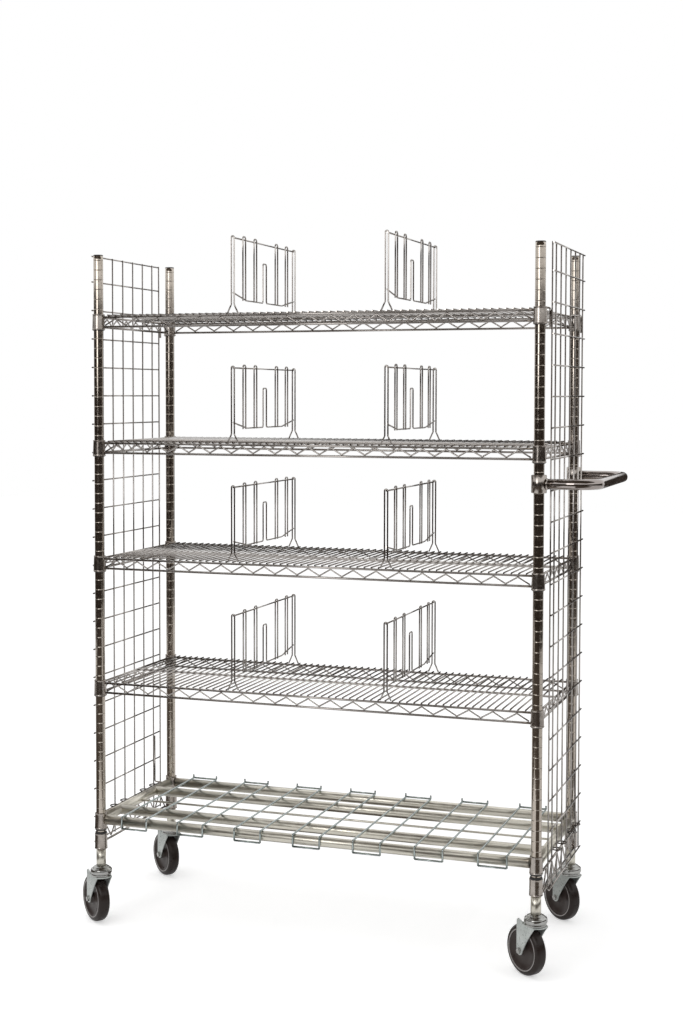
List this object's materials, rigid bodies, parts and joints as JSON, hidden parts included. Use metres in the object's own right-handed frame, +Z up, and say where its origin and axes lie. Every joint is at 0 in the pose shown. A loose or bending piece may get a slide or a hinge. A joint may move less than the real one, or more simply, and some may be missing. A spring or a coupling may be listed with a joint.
{
  "type": "order picking trolley",
  "caption": "Wire-shelf order picking trolley with mesh ends, lift-off dividers, a tube base shelf, a push handle and swivel castors.",
  "frame": {"origin": "on the floor, under the middle of the whole trolley's bounding box as it stands in the picture", "axes": "+X along the shelves towards the push handle, +Y from the front to the rear, +Z up"},
  "size_m": [1.402, 0.5396, 1.8186],
  "materials": {
    "plated_post": "bright plated tube",
    "plated_wire": "bright plated wire",
    "plated_collar": "bright plated, slightly worn",
    "zinc_castor": "zinc-plated pressed steel",
    "black_plastic": "matt moulded",
    "hub_plastic": "dark moulded wheel centre",
    "grey_rubber": "matt solid tyre"
  },
  "bodies": {
    "frame": {"post_front_left": "plated_post", "post_front_right": "plated_post", "post_rear_left": "plated_post", "post_rear_right": "plated_post", "post_caps": "black_plastic", "shelf_1_deck": "plated_wire", "shelf_1_trusses": "plated_wire", "shelf_1_collars": "plated_collar", "shelf_2_deck": "plated_wire", "shelf_2_trusses": "plated_wire", "shelf_2_collars": "plated_collar", "shelf_3_deck": "plated_wire", "shelf_3_trusses": "plated_wire", "shelf_3_collars": "plated_collar", "shelf_4_deck": "plated_wire", "shelf_4_trusses": "plated_wire", "shelf_4_collars": "plated_collar", "base_tubes": "plated_post", "push_handle": "plated_post", "base_hoops": "plated_wire", "base_end_braces": "plated_wire", "panel_left": "plated_wire", "panel_right": "plated_wire", "panel_hooks_left": "plated_wire", "panel_hooks_right": "plated_wire", "panel_anchors": "plated_wire", "base_collars": "plated_collar", "foot_collars": "plated_collar", "handle_clamps": "plated_collar", "castor_front_left_stem": "zinc_castor", "castor_front_right_stem": "zinc_castor", "castor_rear_left_stem": "zinc_castor", "castor_rear_right_stem": "zinc_castor"},
    "castor_front_left_swivel": {"castor_front_left_fork": "zinc_castor", "castor_front_left_axle": "zinc_castor"},
    "castor_front_left_wheel": {"castor_front_left_hub": "hub_plastic", "castor_front_left_tyre": "grey_rubber"},
    "castor_front_right_swivel": {"castor_front_right_fork": "zinc_castor", "castor_front_right_axle": "zinc_castor"},
    "castor_front_right_wheel": {"castor_front_right_hub": "hub_plastic", "castor_front_right_tyre": "grey_rubber"},
    "castor_rear_left_swivel": {"castor_rear_left_fork": "zinc_castor", "castor_rear_left_axle": "zinc_castor"},
    "castor_rear_left_wheel": {"castor_rear_left_hub": "hub_plastic", "castor_rear_left_tyre": "grey_rubber"},
    "castor_rear_right_swivel": {"castor_rear_right_fork": "zinc_castor", "castor_rear_right_axle": "zinc_castor"},
    "castor_rear_right_wheel": {"castor_rear_right_hub": "hub_plastic", "castor_rear_right_tyre": "grey_rubber"},
    "divider_1_left": {"divider_1_left": "plated_wire"},
    "divider_1_right": {"divider_1_right": "plated_wire"},
    "divider_2_left": {"divider_2_left": "plated_wire"},
    "divider_2_right": {"divider_2_right": "plated_wire"},
    "divider_3_left": {"divider_3_left": "plated_wire"},
    "divider_3_right": {"divider_3_right": "plated_wire"},
    "divider_4_left": {"divider_4_left": "plated_wire"},
    "divider_4_right": {"divider_4_right": "plated_wire"}
  },
  "joints": [
    {"name": "castor_front_left_turn", "type": "hinge", "parent": "frame", "child": "castor_front_left_swivel", "pos_m": [-0.61968, -0.23968, 0.13], "axis": [0, 0, 1], "continuous": true},
    {"name": "castor_front_left_roll", "type": "hinge", "parent": "castor_front_left_swivel", "child": "castor_front_left_wheel", "pos_m": [-0.64684, -0.21761, 0.0625], "axis": [-0.6307, -0.776, 0], "continuous": true},
    {"name": "castor_front_right_turn", "type": "hinge", "parent": "frame", "child": "castor_front_right_swivel", "pos_m": [0.55232, -0.23968, 0.13], "axis": [0, 0, 1], "continuous": true},
    {"name": "castor_front_right_roll", "type": "hinge", "parent": "castor_front_right_swivel", "child": "castor_front_right_wheel", "pos_m": [0.52516, -0.21761, 0.0625], "axis": [-0.6307, -0.776, 0], "continuous": true},
    {"name": "castor_rear_left_turn", "type": "hinge", "parent": "frame", "child": "castor_rear_left_swivel", "pos_m": [-0.61968, 0.20032, 0.13], "axis": [0, 0, 1], "continuous": true},
    {"name": "castor_rear_left_roll", "type": "hinge", "parent": "castor_rear_left_swivel", "child": "castor_rear_left_wheel", "pos_m": [-0.64684, 0.22239, 0.0625], "axis": [-0.6307, -0.776, 0], "continuous": true},
    {"name": "castor_rear_right_turn", "type": "hinge", "parent": "frame", "child": "castor_rear_right_swivel", "pos_m": [0.55232, 0.20032, 0.13], "axis": [0, 0, 1], "continuous": true},
    {"name": "castor_rear_right_roll", "type": "hinge", "parent": "castor_rear_right_swivel", "child": "castor_rear_right_wheel", "pos_m": [0.52516, 0.22239, 0.0625], "axis": [-0.6307, -0.776, 0], "continuous": true},
    {"name": "divider_1_left_lift", "type": "slide", "parent": "frame", "child": "divider_1_left", "axis": [0, 0, 1], "range_m": [0, 0.06]},
    {"name": "divider_1_right_lift", "type": "slide", "parent": "frame", "child": "divider_1_right", "axis": [0, 0, 1], "range_m": [0, 0.06]},
    {"name": "divider_2_left_lift", "type": "slide", "parent": "frame", "child": "divider_2_left", "axis": [0, 0, 1], "range_m": [0, 0.06]},
    {"name": "divider_2_right_lift", "type": "slide", "parent": "frame", "child": "divider_2_right", "axis": [0, 0, 1], "range_m": [0, 0.06]},
    {"name": "divider_3_left_lift", "type": "slide", "parent": "frame", "child": "divider_3_left", "axis": [0, 0, 1], "range_m": [0, 0.06]},
    {"name": "divider_3_right_lift", "type": "slide", "parent": "frame", "child": "divider_3_right", "axis": [0, 0, 1], "range_m": [0, 0.06]},
    {"name": "divider_4_left_lift", "type": "slide", "parent": "frame", "child": "divider_4_left", "axis": [0, 0, 1], "range_m": [0, 0.06]},
    {"name": "divider_4_right_lift", "type": "slide", "parent": "frame", "child": "divider_4_right", "axis": [0, 0, 1], "range_m": [0, 0.06]}
  ]
}
